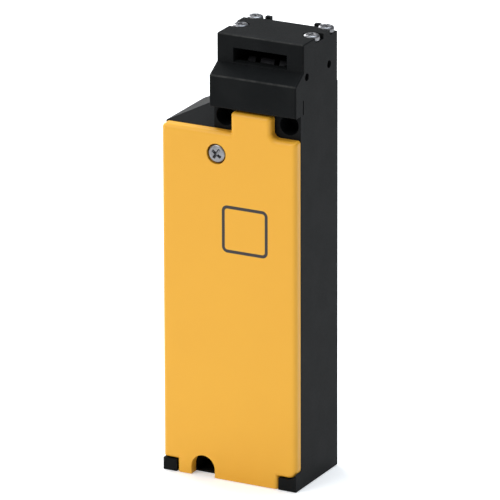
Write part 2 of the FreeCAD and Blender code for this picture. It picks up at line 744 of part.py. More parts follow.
# ------------------------------------------------------------------- lock lever
def lock_lever():
    """Bell-crank lever: forked arm at the armature, hub, and nose at the plunger."""
    near = mechanism_y - lever_thickness / 2
    far = mechanism_y + lever_thickness / 2
    hub = rod("y", (lever_pivot_x, lever_axis_z), 2.6, near, far)
    arm = box(solenoid_x + 4.0, lever_pivot_x, near, far, lever_axis_z - 0.9, lever_axis_z + 0.9)
    fork = box(solenoid_x - 3.2, solenoid_x + 4.5, mechanism_y - 3.3, mechanism_y + 3.3,
               lever_axis_z - 0.8, lever_axis_z + 0.8)
    tip = head_mid - neck_radius - seat_gap
    upright_arm = box(lever_pivot_x - 1.2, lever_pivot_x + 1.2, near, far, lever_axis_z,
                      nose_z + lever_nose_height / 2)
    nose = prism("y", [(lever_pivot_x, nose_z - lever_nose_height / 2), (tip, nose_z - lever_nose_height / 2),
                       (tip, nose_z + lever_nose_height / 2 - 0.4), (tip - 0.6, nose_z + lever_nose_height / 2),
                       (lever_pivot_x, nose_z + lever_nose_height / 2)], near, far)
    gusset = prism("y", [(lever_pivot_x + 1.0, nose_z - lever_nose_height / 2 - 2.2),
                         (lever_pivot_x + 1.0, nose_z), (lever_pivot_x + 3.4, nose_z),
                         (lever_pivot_x + 3.4, nose_z - lever_nose_height / 2)], near, far)
    body = fuse([hub, arm, fork, upright_arm, nose, gusset])
    slot = 1.9
    return cut(body, [
        rod("z", (solenoid_x, mechanism_y), slot, lever_axis_z - 2, lever_axis_z + 2),
        box(solenoid_x - 5, solenoid_x, mechanism_y - slot, mechanism_y + slot, lever_axis_z - 2, lever_axis_z + 2),
        rod("y", (lever_pivot_x, lever_axis_z), pivot_radius + running_clearance, near - 1, far + 1),
    ])


def lever_pivot_pin():
    """Headed pin that carries the lever, pressed into its post."""
    near = mechanism_y - lever_thickness / 2 - slide_clearance
    head = rod("y", (lever_pivot_x, lever_axis_z), 2.2, near - 0.9, near)
    shank = rod("y", (lever_pivot_x, lever_axis_z), pivot_radius, near, inner_back - 1.5)
    return head.fuse(shank)


# ---------------------------------------------------------------- contact block
def terminal_places():
    """X of the terminal, side of the block and height of its contact bridge."""
    return [(head_mid + side * terminal_offset, side, z) for side in (-1, 1) for z in level_z]


def contact_block():
    """Moulded block: central channel, contact windows and six terminal pockets."""
    body = box(block_left, block_right, block_front, block_back, block_bottom, block_top)
    channel = carrier_half_width + slide_clearance
    lid_half = channel + 3.4
    window_outer = bridge_half_length + 0.5
    tools = [box(head_mid - channel, head_mid + channel, block_front - 1, mechanism_y + 4.3,
                 block_bottom + block_floor, block_top - 2.0)]
    tools.append(rod("z", (head_mid, mechanism_y), plunger_radius + 0.1, block_top - 3, block_top + 1))
    tools.append(box(head_mid - lid_half, head_mid + lid_half, block_front - 1, block_front + 0.6,
                     block_bottom + 1.5, block_top - 1.0))
    for z in level_z:
        strip_low = z + fixed_contact_rise
        tools.append(box(head_mid - window_outer, head_mid + window_outer, block_front - 1, mechanism_y + 2.4,
                         z - 0.6, strip_low + bridge_thickness + 0.1))
    for x, side, z in terminal_places():
        tools.append(box(x - terminal_half_width - 0.1, x + terminal_half_width + 0.2, block_front - 1,
                         block_front + 4.4, z + 0.4, z + 0.8 + terminal_height))
        strip_low = z + fixed_contact_rise
        low, high = sorted((head_mid + side * (window_outer - 0.5), x))
        tools.append(box(low, high, block_front - 1, mechanism_y + 1.9, strip_low - 0.1,
                         strip_low + bridge_thickness + 0.1))
        tools.append(rod("y", (x, z + 0.6 + terminal_height / 2), terminal_screw_radius + 0.05,
                         block_front, block_back - 4.5))
    for side in (-1, 1):
        place = (head_mid + side * terminal_offset, block_bottom + 4.0)
        tools.append(rod("y", place, 1.6, block_front - 1, block_back + 1))
        tools.append(rod("y", place, 2.9, block_front - 1, block_front + 3.0))
    return cut(body, tools)


def contact_block_lid():
    """Lid that keeps the carrier in its channel."""
    lid_half = carrier_half_width + slide_clearance + 3.3
    plate = box(head_mid - lid_half, head_mid + lid_half, block_front - 0.6, block_front + 0.6,
                block_bottom + 1.6, block_top - 1.1)
    plate = rounded(plate, 0.3, lambda edge: edge.BoundBox.YMax < block_front - 0.59)
    windows = [box(head_mid - 2.0, head_mid + 2.0, block_front - 1, block_front + 1, z - 0.2, z + 5.0)
               for z in level_z]
    return cut(plate, windows)


def contact_carrier():
    """Slider with one window per contact bridge."""
    top = block_top - 2.0 - 0.5 - stroke
    low = block_bottom + block_floor + carrier_spring_room
    body = box(head_mid - carrier_half_width, head_mid + carrier_half_width, block_front + 0.6 + slide_clearance,
               mechanism_y + 4.0, low, top)
    tools = [box(head_mid - carrier_half_width - 1, head_mid + carrier_half_width + 1, mechanism_y - 2.1,
                 mechanism_y + 2.1, z - 2.6, z + bridge_thickness) for z in level_z]
    tools.append(rod("z", (head_mid, mechanism_y), 1.5, low - 1, low + 0.6))
    return cut(body, tools)


def contact_bridges():
    """Three bridges with a silver tip at each end."""
    bridges = []
    for z in level_z:
        bar = box(head_mid - bridge_half_length, head_mid + bridge_half_length, mechanism_y - 2.0,
                  mechanism_y + 2.0, z, z + bridge_thickness)
        tips = [rod("z", (head_mid + side * (bridge_half_length - tip_radius - 0.1), mechanism_y), tip_radius,
                    z + bridge_thickness, z + bridge_thickness + tip_height) for side in (-1, 1)]
        bridges.append(fuse([bar] + tips))
    return group(bridges)


def bridge_springs():
    """Bowed leaf under each bridge, seated in the carrier's window."""
    springs = []
    for z in level_z:
        low = z - 2.6
        half = carrier_half_width - 0.4
        outline = [(head_mid - half, low), (head_mid - half + 0.6, low), (head_mid, z - 0.5),
                   (head_mid + half - 0.6, low), (head_mid + half, low), (head_mid + 0.3, z), (head_mid - 0.3, z)]
        springs.append(prism("y", outline, mechanism_y - 1.5, mechanism_y + 1.5))
    return group(springs)


def carrier_spring():
    """Return spring under the contact carrier."""
    low = block_bottom + block_floor
    return coil_spring((head_mid, mechanism_y), low, low + carrier_spring_room, 2.0, 0.35, 3)


def fixed_contacts():
    """Six terminal plates, each with a strip that ends over its bridge."""
    contacts = []
    plate_back = block_front + 4.4
    for x, side, z in terminal_places():
        strip_low = z + fixed_contact_rise
        plate = box(x - terminal_half_width, x + terminal_half_width, plate_back - 1.0, plate_back,
                    z + 0.6, z + 0.6 + terminal_height)
        tip_x = head_mid + side * (bridge_half_length - tip_radius - 0.1)
        low, high = sorted((head_mid + side * (carrier_half_width + 0.5), x))
        strip = box(low, high, plate_back - 1.0, mechanism_y + 1.8, strip_low, strip_low + bridge_thickness)
        tip = rod("z", (tip_x, mechanism_y), tip_radius, strip_low - tip_height + 0.05, strip_low)
        body = fuse([plate, strip, tip])
        screw_z = z + 0.6 + terminal_height / 2
        contacts.append(body.cut(rod("y", (x, screw_z), terminal_screw_radius + 0.05, block_front, block_back)))
    return group(contacts)


def terminal_clamps():
    """Pressed clamp plates under the terminal screws."""
    plate_front = block_front + 3.4
    clamps = []
    for x, side, z in terminal_places():
        screw_z = z + 0.6 + terminal_height / 2
        plate = box(x - terminal_half_width + 0.1, x + terminal_half_width - 0.1, plate_front - 1.1,
                    plate_front - 0.3, screw_z - 3.0, screw_z + 3.0)
        clamps.append(plate.cut(rod("y", (x, screw_z), terminal_screw_radius + 0.05, block_front - 1, block_back)))
    return group(clamps)


def terminal_screws():
    """Six terminal screws that face the cover."""
    seat = block_front + 3.4 - 1.1
    return group([pan_screw("y", (x, z + 0.6 + terminal_height / 2), seat, 2.5, 1.7,
                            terminal_screw_radius, terminal_screw_length, 1)
                  for x, side, z in terminal_places()])


def block_screws():
    """Two screws that hold the contact block to the base."""
    seat = block_front + block_screw_sink
    return group([pan_screw("y", (head_mid + side * terminal_offset, block_bottom + block_screw_height),
                            seat, 2.7, 1.8, 1.2, block_back + block_screw_bite - seat, 1) for side in (-1, 1)])


# --------------------------------------------------------------------- solenoid
def solenoid_yoke():
    """U-shaped steel frame with a fixing ear above and below."""
    near = mechanism_y - yoke_half_depth
    far = mechanism_y + yoke_half_depth
    frame = box(solenoid_x - yoke_half_width, solenoid_x + yoke_half_width, near, far, yoke_bottom, yoke_top - yoke_sheet)
    frame = frame.cut(box(solenoid_x - yoke_half_width + yoke_sheet, solenoid_x + yoke_half_width - yoke_sheet,
                          near - 1, far + 1, yoke_bottom + yoke_sheet, yoke_top))
    ear = box(solenoid_x - 4.5, solenoid_x + 4.5, far - yoke_sheet, far, yoke_bottom - 8.0, yoke_bottom)
    body = fuse([frame, ear])
    return cut(body, [
        rod("z", (solenoid_x, mechanism_y), armature_radius - 0.6, yoke_bottom - 1, yoke_bottom + yoke_sheet + 0.5),
        cone("y", (solenoid_x, yoke_bottom - 4.0), 2.6, 1.5, far - yoke_sheet, far),
    ])


def yoke_plate():
    """Top plate staked on the frame, with the hole that the armature slides through."""
    near = mechanism_y - yoke_half_depth
    far = mechanism_y + yoke_half_depth
    plate = box(solenoid_x - yoke_half_width, solenoid_x + yoke_half_width, near, far, yoke_top - yoke_sheet, yoke_top)
    ear = box(solenoid_x - 4.5, solenoid_x + 4.5, far - yoke_sheet, far, yoke_top, yoke_top + 8.0)
    return cut(fuse([plate, ear]), [
        rod("z", (solenoid_x, mechanism_y), armature_radius + running_clearance * 2, yoke_bottom, yoke_top + 1),
        cone("y", (solenoid_x, yoke_top + 4.0), 2.6, 1.5, far - yoke_sheet, far),
    ])


def coil_bobbin():
    """Moulded spool."""
    centre = (solenoid_x, mechanism_y)
    low = yoke_bottom + yoke_sheet
    high = yoke_top - yoke_sheet
    inner = armature_radius + running_clearance * 2
    flange_radius = yoke_half_width - yoke_sheet - 0.2
    body = fuse([
        rod("z", centre, inner + bobbin_wall, low, high),
        rod("z", centre, flange_radius, low, low + bobbin_flange),
        rod("z", centre, flange_radius, high - bobbin_flange, high),
    ])
    return body.cut(rod("z", centre, inner, low - 1, high + 1))


def coil_winding():
    """Taped winding on the spool."""
    inner = armature_radius + running_clearance * 2 + bobbin_wall
    outer = yoke_half_width - yoke_sheet - 0.5
    return tube("z", (solenoid_x, mechanism_y), outer, inner,
                yoke_bottom + yoke_sheet + bobbin_flange, yoke_top - yoke_sheet - bobbin_flange)


def fixed_core():
    """Core riveted into the bottom of the yoke."""
    centre = (solenoid_x, mechanism_y)
    spigot = rod("z", centre, armature_radius - 0.6, yoke_bottom, yoke_bottom + yoke_sheet)
    return spigot.fuse(rod("z", centre, armature_radius, yoke_bottom + yoke_sheet, yoke_bottom + core_height)).removeSplitter()


def armature():
    """Turned armature: core end, spring collar, stem and mushroom head."""
    core_top = yoke_bottom + core_height
    head = lever_axis_z + 0.8 + seat_gap
    profile = [
        (0, core_top + armature_travel + seat_gap), (armature_radius, core_top + armature_travel + seat_gap),
        (armature_radius, collar_z), (spring_seat_radius, collar_z), (spring_seat_radius, collar_z + 1.2), (1.5, collar_z + 1.2),
        (1.5, head), (3.2, head + 0.9), (3.2, head + 1.7), (2.6, head + 2.1), (0, head + 2.1),
    ]
    corners = [Vector(r, 0, z) for r, z in profile]
    face = Part.Face(Part.makePolygon(corners + corners[:1]))
    body = face.revolve(Vector(0, 0, 0), Vector(0, 0, 1), 360)
    body.translate(Vector(solenoid_x, mechanism_y, 0))
    return body


def armature_spring():
    """Spring that lifts the armature, so the lock holds without power."""
    return coil_spring((solenoid_x, mechanism_y), yoke_top, collar_z, armature_radius + 0.75, 0.35, 5)


def solenoid_screws():
    """Two countersunk screws through the ears."""
    far = mechanism_y + yoke_half_depth
    screws = []
    for z in (yoke_bottom - 4.0, yoke_top + 4.0):
        head = cone("y", (solenoid_x, z), 2.6, 1.5, far - yoke_sheet, far)
        screws.append(head.fuse(rod("y", (solenoid_x, z), 1.5, far, inner_back - 0.5)))
    return group(screws)


def coil_terminal_block():
    """Two-pole terminal block for the coil."""
    half = yoke_half_width - 0.7
    low = coil_block_bottom
    body = box(solenoid_x - half, solenoid_x + half, -1.0, block_back, low, low + coil_block_height)
    tools = []
    for side in (-1, 1):
        x = solenoid_x + side * 3.1
        tools.append(box(x - 2.6, x + 2.6, -2, 3.0, low + 1.6, low + coil_block_height - 1.6))
        tools.append(rod("y", (x, low + coil_block_height / 2), 1.35, 2.0, 8.0))
        tools.append(box(x - 1.6, x + 1.6, 0.0, 3.0, low - 1, low + 2.0))
    return cut(body, tools)


def coil_terminal_plates():
    """Two clamp plates in the coil's terminal block."""
    plates = []
    for side in (-1, 1):
        x = solenoid_x + side * 3.1
        z = coil_block_bottom + coil_block_height / 2
        plate = box(x - 2.4, x + 2.4, 2.0, 3.0, z - 3.6, z + 3.6)
        plates.append(plate.cut(rod("y", (x, z), 1.35, 0, 8)))
    return group(plates)


def coil_terminal_screws():
    """Two screws that face the cover."""
    return group([pan_screw("y", (solenoid_x + side * 3.1, coil_block_bottom + coil_block_height / 2), 2.0,
                            2.3, 1.5, 1.3, 5.5, 1) for side in (-1, 1)])


pieces = [
    base_housing, entry_block, front_cover, cover_gasket, cover_screw,
    head_housing, head_cap, head_gasket, head_screws,
    cam_carrier, carrier_pins, cam_shaft, cam_wheel,
    plunger, plunger_guide, plunger_seal, plunger_spring,
    lock_lever, lever_pivot_pin,
    contact_block, contact_block_lid, contact_carrier, contact_bridges, bridge_springs, carrier_spring,
    fixed_contacts, terminal_clamps, terminal_screws, block_screws,
    solenoid_yoke, yoke_plate, coil_bobbin, coil_winding, fixed_core, armature, armature_spring, solenoid_screws,
    coil_terminal_block, coil_terminal_plates, coil_terminal_screws,
]

os.makedirs("parts", exist_ok=True)
for piece in pieces:
    shape = piece()
    name = piece.__name__
    shape.exportStep("parts/" + name + ".step")
    print(f"{name}: {len(shape.Solids)} solids, {shape.Volume:.1f} mm3, valid {shape.isValid()}")
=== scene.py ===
# %% [markdown]
# # A tongue interlock switch, dressed over its frame
#
# The frame holds every rigid piece at its real size: base, cover, head, cam, plunger, contact block and
# solenoid. This file gives those pieces their finish, and adds what is finer than the frame: cross-recessed
# screws, ground springs, a printed field on the cover, a thread in the cable entry, the coil's wire and
# a thin black sheet under the lower fixing slot, which is painted shade.

# %% Load the frame
import bpy
import bmesh
import math
import numpy as np
from mathutils import Matrix, Vector


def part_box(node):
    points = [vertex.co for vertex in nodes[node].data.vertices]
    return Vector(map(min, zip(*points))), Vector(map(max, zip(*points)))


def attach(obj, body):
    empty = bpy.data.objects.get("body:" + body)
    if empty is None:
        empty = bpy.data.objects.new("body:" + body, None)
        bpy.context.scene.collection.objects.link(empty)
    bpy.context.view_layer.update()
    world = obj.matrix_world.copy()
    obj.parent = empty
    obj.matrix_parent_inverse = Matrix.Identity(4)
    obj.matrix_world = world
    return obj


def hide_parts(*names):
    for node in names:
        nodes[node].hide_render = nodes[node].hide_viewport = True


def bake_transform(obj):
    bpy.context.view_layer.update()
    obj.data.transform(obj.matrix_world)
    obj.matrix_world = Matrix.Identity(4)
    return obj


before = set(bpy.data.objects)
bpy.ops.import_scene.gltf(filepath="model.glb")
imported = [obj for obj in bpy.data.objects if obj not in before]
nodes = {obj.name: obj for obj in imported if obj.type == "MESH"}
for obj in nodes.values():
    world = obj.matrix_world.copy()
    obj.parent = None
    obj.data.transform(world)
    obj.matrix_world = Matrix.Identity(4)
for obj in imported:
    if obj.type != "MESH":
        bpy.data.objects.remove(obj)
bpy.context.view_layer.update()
MM = 0.001


# %% [markdown]
# ## Shader maths as Python
#
# A finish is mostly arithmetic on noise. Written as nodes it is hard to read, so one small class wraps a
# node socket and lets `+`, `-`, `*` and `abs` add the Math nodes. Anything else goes through one method
# that takes the node's type, its settings and its inputs. The alternative is a tree of `links.new` lines,
# which says the same thing in five times the space.

# %% A socket that can be added and multiplied
class Signal:
    """A number that varies over a surface: wraps an output socket of a node tree."""

    def __init__(self, tree, socket):
        self.tree = tree
        self.socket = socket

    def _math(self, operation, other, swap=False):
        pair = (other, self) if swap else (self, other)
        return self.tree.node("ShaderNodeMath", {"operation": operation}, {0: pair[0], 1: pair[1]})

    def __add__(self, other):
        return self._math("ADD", other)

    def __sub__(self, other):
        return self._math("SUBTRACT", other)

    def __rsub__(self, other):
        return self._math("SUBTRACT", other, swap=True)

    def __mul__(self, other):
        return self._math("MULTIPLY", other)

    def __abs__(self):
        return self.tree.node("ShaderNodeMath", {"operation": "ABSOLUTE"}, {0: self})

    def root(self):
        """The square root."""
        return self.tree.node("ShaderNodeMath", {"operation": "SQRT"}, {0: self})

    def larger(self, other):
        """The larger of the two numbers."""
        return self._math("MAXIMUM", other)

    def smaller(self, other):
        """The smaller of the two numbers."""
        return self._math("MINIMUM", other)

    def clamp(self):
        """The number kept between 0 and 1."""
        return self.tree.node("ShaderNodeClamp", {}, {"Value": self, "Min": 0.0, "Max": 1.0})

    def step(self, start, end):
        """Smooth ramp from 0 at start to 1 at end."""
        return self.tree.node("ShaderNodeMapRange", {"interpolation_type": "SMOOTHSTEP"},
                              {"Value": self, "From Min": start, "From Max": end})


# %% A material and its tree
class Finish:
    """One material: a Principled shader and the nodes that feed it."""

    def __init__(self, name, **sockets):
        self.material = bpy.data.materials.new(name)
        self.material.use_nodes = True
        self.nodes = self.material.node_tree.nodes
        self.links = self.material.node_tree.links
        self.shader = self.nodes["Principled BSDF"]
        self.place = self.nodes.new("ShaderNodeTexCoord").outputs["Object"]
        for key, value in sockets.items():
            self.set(key.replace("_", " ").title().replace("Ior", "IOR"), value)

    def set(self, socket, value):
        """Fixed value or link on a socket of the Principled shader."""
        self.feed(self.shader.inputs[socket], value)

    def feed(self, socket, value):
        """Put a Signal, a raw socket or a plain value into an input."""
        if isinstance(value, Signal):
            self.links.new(value.socket, socket)
        elif isinstance(value, bpy.types.NodeSocket):
            self.links.new(value, socket)
        else:
            socket.default_value = value

    def node(self, kind, settings, inputs, output=0):
        """Add one node: its settings first, then its inputs by name or number."""
        node = self.nodes.new(kind)
        for key, value in settings.items():
            setattr(node, key, value)
        for key, value in inputs.items():
            self.feed(node.inputs[key], value)
        return Signal(self, node.outputs[output])

    def noise(self, scale, detail=2.0, stretch=(1, 1, 1)):
        """Fractal noise, scale in features per metre, stretched per axis."""
        spot = self.node("ShaderNodeMapping", {}, {"Vector": self.place, "Scale": stretch})
        return self.node("ShaderNodeTexNoise", {}, {"Vector": spot, "Scale": scale, "Detail": detail})

    def blend(self, share, first, second):
        """Mix two colours by a share from 0 to 1."""
        return self.node("ShaderNodeMix", {"data_type": "RGBA"}, {0: share, 6: first, 7: second}, output=2)

    def axis(self, letter):
        """One coordinate of the surface point, in metres."""
        return self.node("ShaderNodeSeparateXYZ", {}, {0: self.place}, output="XYZ".index(letter))

    def bump(self, height, distance, strength):
        """Relief from a height signal, distance in metres."""
        inputs = {"Height": height, "Distance": distance, "Strength": strength}
        self.set("Normal", self.node("ShaderNodeBump", {}, inputs))


def rgb(red, green, blue):
    """Linear colour with full alpha."""
    return (red, green, blue, 1.0)


# %% [markdown]
# ## The black moulding
#
# Base and head are glass-filled nylon from a spark-eroded mould: nearly black, matt, with a grain of about
# a third of a millimetre and a faint cloudiness where the melt flowed. Two noises do it: a fine one makes
# the relief and nudges the roughness, a coarse one shifts the colour by a few percent. An image would turn
# coarse in a close view, and noise on object coordinates never does. Two front edges of the head carry a
# painted highlight: there the colour rises to a paler grey with nearness to the edge, broken by noise.

# %% Black glass-filled nylon
def near_edge(finish, y, z, reach):
    """1 on a line along X through (y, z), down to 0 at the reach from it."""
    aside = finish.axis("Y") - y
    above = finish.axis("Z") - z
    distance = (aside * aside + above * above).root()
    return 1 - distance.step(reach * 0.35, reach)


def black_moulding(name, dark, light, highlight_colour, edges):
    """Colour = dark to light by cloud, a painted highlight near the edges; roughness = 0.46 + 0.16 * grain."""
    finish = Finish(name, specular_ior_level=0.055)
    clouds = finish.noise(90.0, 3.0)
    grain = finish.noise(2600.0)
    body = finish.blend(clouds.step(0.35, 0.7), dark, light)
    # Painted highlight: the colour turns paler along the listed edges, broken by noise.
    edge_highlight = 0.0
    for y, z, reach in edges:
        edge_highlight = near_edge(finish, y, z, reach) + edge_highlight
    edge_highlight = edge_highlight * (finish.noise(420.0).step(0.2, 0.6) * 0.7 + 0.3)
    finish.set("Base Color", finish.blend(edge_highlight, body, highlight_colour))
    finish.set("Roughness", grain * 0.16 + 0.46)
    finish.bump(grain, 0.06 * MM, 0.55)
    return finish.material


# %% [markdown]
# ## The yellow cover
#
# The cover is dyed through, so its colour is even; what the eye reads as plastic is the satin sheen broken
# by a very fine grain. The printed field is ink in the same material: a rounded frame worked out as a
# distance to a rectangle, so its line stays sharp at any size. A separate film would have to float above
# the moulding.

# %% Printed frame as a distance
def printed_frame(finish, centre, half, corner, line):
    """Ink where the distance to a rounded rectangle in X and Z is within half a line of zero."""
    along = abs(finish.axis("X") - centre[0]) - (half[0] - corner)
    upward = abs(finish.axis("Z") - centre[1]) - (half[1] - corner)
    over_x, over_z = along.larger(0.0), upward.larger(0.0)
    outside = (over_x * over_x + over_z * over_z).root()
    inside = along.larger(upward).smaller(0.0)
    soft = 0.04 * MM
    return 1 - abs(outside + inside - corner).step(line * 0.5 - soft, line * 0.5 + soft)


# %% Yellow satin moulding with a printed blank field
def yellow_moulding(name, centre, half, corner, line):
    """Colour = yellow by height and cloud, ink on the front face; roughness = 0.40 + 0.10 * (grain - ink)."""
    finish = Finish(name, specular_ior_level=0.42)
    clouds = finish.noise(38.0, 3.0)
    grain = finish.noise(3400.0)
    upper = finish.axis("Z").step(0.0, 0.13)
    body = finish.blend(upper, rgb(0.880, 0.445, 0.032), rgb(0.870, 0.430, 0.030))
    body = finish.blend(clouds.step(0.3, 0.75) * 0.35, body, rgb(0.845, 0.41, 0.028))
    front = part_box("front_cover")[0].y
    face = 1 - finish.axis("Y").step(front + 0.1 * MM, front + 0.2 * MM)
    ink = printed_frame(finish, centre, half, corner, line) * face
    finish.set("Base Color", finish.blend(ink, body, rgb(0.022, 0.020, 0.018)))
    finish.set("Roughness", grain * 0.10 + 0.40 - ink * 0.10)
    finish.bump(grain, 0.03 * MM, 0.5)
    return finish.material


# %% [markdown]
# ## Metals, rubber and the inner mouldings
#
# A metal's look is in its roughness: zinc plate is cloudy, turned steel carries fine rings, stamped brass
# has faint rolling lines. So one function makes them all from a colour, a base roughness and a stretched
# noise, and the stretch decides whether the marks are clouds, rings or lines.

# %% Metal with marks that run one way
def metal(name, colour, shade, roughness, marks, stretch):
    """Roughness = base + 0.22 * marks; colour slides to its shade where the marks are high."""
    finish = Finish(name, metallic=1.0)
    grain = finish.noise(marks, 3.0, stretch)
    clouds = finish.noise(260.0)
    finish.set("Base Color", finish.blend(clouds.step(0.35, 0.75), colour, shade))
    finish.set("Roughness", grain * 0.22 + roughness)
    finish.bump(grain, 0.02 * MM, 0.6)
    return finish.material


# %% Plain mouldings and rubber
def moulding(name, colour, shade, roughness, scale):
    """Moulded piece: two tones by cloud, grain in relief and roughness."""
    finish = Finish(name, specular_ior_level=0.45)
    grain = finish.noise(scale)
    finish.set("Base Color", finish.blend(finish.noise(120.0).step(0.35, 0.7), colour, shade))
    finish.set("Roughness", grain * 0.14 + roughness)
    finish.bump(grain, 0.03 * MM, 0.5)
    return finish.material


# %% Clear lid
def clear_moulding(name):
    """Polycarbonate: transmits, with a haze that varies a little."""
    finish = Finish(name, transmission_weight=0.92, ior=1.58)
    haze = finish.noise(180.0)
    finish.set("Base Color", finish.blend(haze, rgb(0.86, 0.90, 0.92), rgb(0.93, 0.95, 0.96)))
    finish.set("Roughness", haze * 0.08 + 0.08)
    return finish.material


# %% Make the finishes
skirt_front, skirt_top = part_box("head_housing")[0].y, 147.1 * MM    # lower edge of the head's chamfer
cap_front, cap_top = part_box("head_cap")[0].y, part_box("head_cap")[1].z
# Painted highlight along the chamfer's lower edge and the cap's top front edge.
highlight_reach = 0.55 * MM
highlight_edges = [(skirt_front, skirt_top, highlight_reach), (cap_front, cap_top, highlight_reach)]
field_centre, field_half = (6.3 * MM, 92.4 * MM), (8.3 * MM, 8.0 * MM)
field_corner, field_line = 1.6 * MM, 1.15 * MM
finishes = {
    # The black finish's third colour is the painted highlight on the head's front edges.
    "black": black_moulding("black_nylon", rgb(0.0060, 0.0067, 0.0070), rgb(0.0086, 0.0093, 0.0096),
                            rgb(0.040, 0.040, 0.038), highlight_edges),
    "yellow": yellow_moulding("yellow_cover", field_centre, field_half, field_corner, field_line),
    "zinc": metal("zinc_plate", rgb(0.29, 0.29, 0.30), rgb(0.17, 0.17, 0.18), 0.28, 900.0, (1, 1, 1)),
    "steel": metal("turned_steel", rgb(0.60, 0.60, 0.61), rgb(0.50, 0.50, 0.52), 0.18, 500.0, (1, 1, 12)),
    "sheet": metal("yoke_sheet", rgb(0.55, 0.57, 0.60), rgb(0.45, 0.47, 0.50), 0.30, 700.0, (1, 8, 1)),
    # Dark phosphated steel pushed to near black as painted shade: it stands in for the shade in the head's slot
    # and the pin holes.
    "shade_dark_steel": metal("phosphated_steel_as_shade", rgb(0.012, 0.012, 0.013), rgb(0.007, 0.007, 0.008), 0.44, 800.0,
                   (6, 1, 1)),
    "brass": metal("stamped_brass", rgb(0.76, 0.56, 0.24), rgb(0.66, 0.46, 0.18), 0.22, 700.0, (8, 1, 1)),
    "copper": metal("enamelled_copper", rgb(0.62, 0.22, 0.09), rgb(0.50, 0.16, 0.06), 0.26, 900.0, (1, 1, 8)),
    "rubber": moulding("seal_rubber", rgb(0.018, 0.018, 0.019), rgb(0.026, 0.026, 0.027), 0.66, 1800.0),
    "ivory": moulding("ivory_moulding", rgb(0.66, 0.63, 0.54), rgb(0.60, 0.57, 0.48), 0.42, 1600.0),
    "red": moulding("red_slider", rgb(0.46, 0.035, 0.022), rgb(0.38, 0.028, 0.018), 0.40, 1600.0),
    "clear": clear_moulding("clear_lid"),
}
print("finishes:", ", ".join(finishes))

# %% Dress the frame's own pieces
wears = {
    "black": ["base_housing", "entry_block", "head_housing", "head_cap"],
    "yellow": ["front_cover"],
    "rubber": ["cover_gasket", "head_gasket", "plunger_seal"],
    "zinc": ["terminal_clamps", "solenoid_screws", "lever_pivot_pin"],
    "steel": ["cam_shaft", "plunger", "fixed_core", "armature", "bridge_springs"],
    "sheet": ["solenoid_yoke", "yoke_plate"],
    # Near-black steel: painted shade for the slot interior and the pin holes.
    "shade_dark_steel": ["cam_wheel", "lock_lever", "carrier_pins", "cam_carrier"],
    "brass": ["fixed_contacts", "contact_bridges", "coil_terminal_plates"],
    "ivory": ["plunger_guide", "contact_block", "coil_bobbin", "coil_terminal_block"],
    "red": ["contact_carrier"],
    "clear": ["contact_block_lid"],
}
for finish_name, node_names in wears.items():
    for node_name in node_names:
        nodes[node_name].data.materials.clear()
        nodes[node_name].data.materials.append(finishes[finish_name])
print("dressed", sum(len(names) for names in wears.values()), "of", len(nodes), "nodes")


# %% [markdown]
# ## Surfaces from two parameters
#
# Every new piece is a grid of points: one function of two parameters, worked out for all of them at once
# with numpy. `skin` turns such grids into one closed mesh. The alternative, adding primitives and cutting
# them, leaves long thin triangles and needs a cleaning step each time.

# %% Grids into a mesh
def skin(name, grids, material, body):
    """Mesh from (points[rows, columns, 3], close_rows, close_columns) grids, quads between neighbours."""
    points, faces, start = [], [], 0
    for grid, close_rows, close_columns in grids:
        rows, columns = grid.shape[:2]
        points.append(grid.reshape(-1, 3))
        r = np.arange(rows if close_rows else rows - 1)[:, None]
        c = np.arange(columns if close_columns else columns - 1)[None, :]
        r2, c2 = (r + 1) % rows, (c + 1) % columns
        quads = np.stack([r * columns + c, r2 * columns + c, r2 * columns + c2, r * columns + c2], -1)
        faces.append(quads.reshape(-1, 4) + start)
        start += rows * columns
    mesh = bpy.data.meshes.new(name)
    mesh.from_pydata(np.concatenate(points).tolist(), [], np.concatenate(faces).tolist())
    piece = bpy.data.objects.new(name, mesh)
    bpy.context.scene.collection.objects.link(piece)
    close_seams(mesh)
    mesh.shade_smooth()
    mesh.materials.append(material)
    if body:
        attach(piece, body)
    return piece


def close_seams(mesh):
    """Merge doubled points at poles and seams, drop empty faces, and point the faces outwards."""
    work = bmesh.new()
    work.from_mesh(mesh)
    bmesh.ops.remove_doubles(work, verts=work.verts, dist=1e-7)
    bmesh.ops.dissolve_degenerate(work, edges=work.edges, dist=1e-8)
    bmesh.ops.recalc_face_normals(work, faces=work.faces)
    work.to_mesh(mesh)
    work.free()


# %% Points round a line
def around(centre, radius, angle, along, axis=2):
    """Points at a radius and an angle round a line along an axis, each at its distance along that line."""
    grid = np.empty(radius.shape + (3,))
    across = [k for k in range(3) if k != axis]
    grid[..., across[0]] = centre[0] + radius * np.cos(angle)
    grid[..., across[1]] = centre[1] + radius * np.sin(angle)
    grid[..., axis] = along
    return grid


def circle(columns):
    """Angles once round, as one row."""
    return np.linspace(0, 2 * np.pi, columns, endpoint=False)[None, :]


def saw(turns):
    """Triangle wave: 1 at whole turns, 0 half way between them."""
    return abs((turns % 1) * 2 - 1)


# %% [markdown]
# ## Fasteners
#
# Every screw stands where the frame has one, so its place, radius and length are read from the frame's own
# points, solid by solid. Typing them in again would let the two drift apart.

# %% Read the separate solids of a node
def solids_in(name):
    """Point sets of a node's solids: points that share an edge, or lie on the same spot, belong together."""
    mesh = nodes[name].data
    points = np.empty(len(mesh.vertices) * 3)
    mesh.vertices.foreach_get("co", points)
    points = points.reshape(-1, 3)
    edges = np.empty(len(mesh.edges) * 2, np.int32)
    mesh.edges.foreach_get("vertices", edges)
    _, spot = np.unique(np.round(points, 6), axis=0, return_inverse=True)
    spot = spot.ravel()
    edges = spot[edges].reshape(-1, 2)
    label = np.arange(spot.max() + 1)
    while True:
        low = np.minimum(label[edges[:, 0]], label[edges[:, 1]])
        joined = label.copy()
        np.minimum.at(joined, edges[:, 0], low)
        np.minimum.at(joined, edges[:, 1], low)
        joined = joined[joined]
        if (joined == label).all():
            break
        label = joined
    label = label[spot]
    return [points[label == k] for k in np.unique(label)]


